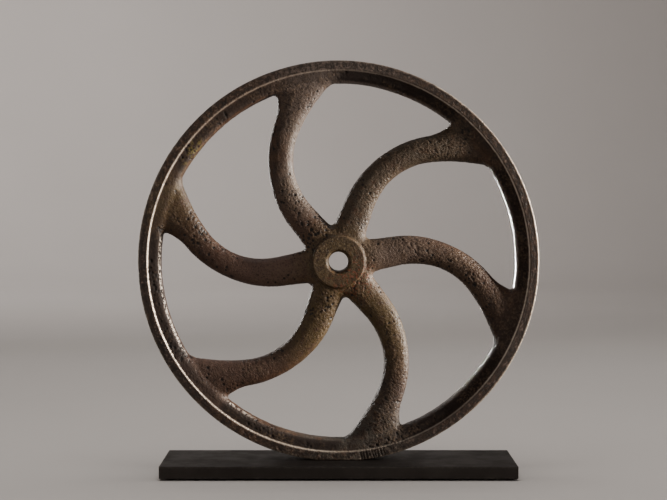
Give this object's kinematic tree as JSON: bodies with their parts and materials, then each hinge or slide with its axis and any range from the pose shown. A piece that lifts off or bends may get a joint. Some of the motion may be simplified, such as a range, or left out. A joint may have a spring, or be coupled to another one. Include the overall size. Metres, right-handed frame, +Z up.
{
  "type": "spoked wheel sculpture",
  "caption": "Old cast-iron spoked wheel with S-curved spokes and an open bore, standing on its rim on a slim black plinth.",
  "frame": {"origin": "centre of the footprint, on the surface that the foot pads stand on", "axes": "+Z up, +X along the plinth to the viewer's right, -Y towards the viewer; the wheel's axle line runs along Y"},
  "size_m": [0.4, 0.1, 0.413],
  "materials": {
    "casting": "rough as-cast iron, dark brown rust with ochre patches, pitted, rubbed on its edges",
    "plinth": "matte black",
    "screw": "black-oxide steel",
    "pad": "dark felt"
  },
  "bodies": {
    "root": {"rim": "casting", "hub": "casting", "spoke_1": "casting", "spoke_2": "casting", "spoke_3": "casting", "spoke_4": "casting", "spoke_5": "casting", "spoke_6": "casting", "plinth": "plinth", "fixing_screw_left": "screw", "fixing_screw_right": "screw", "foot_pad_front_left": "pad", "foot_pad_front_right": "pad", "foot_pad_back_left": "pad", "foot_pad_back_right": "pad"}
  },
  "joints": []
}
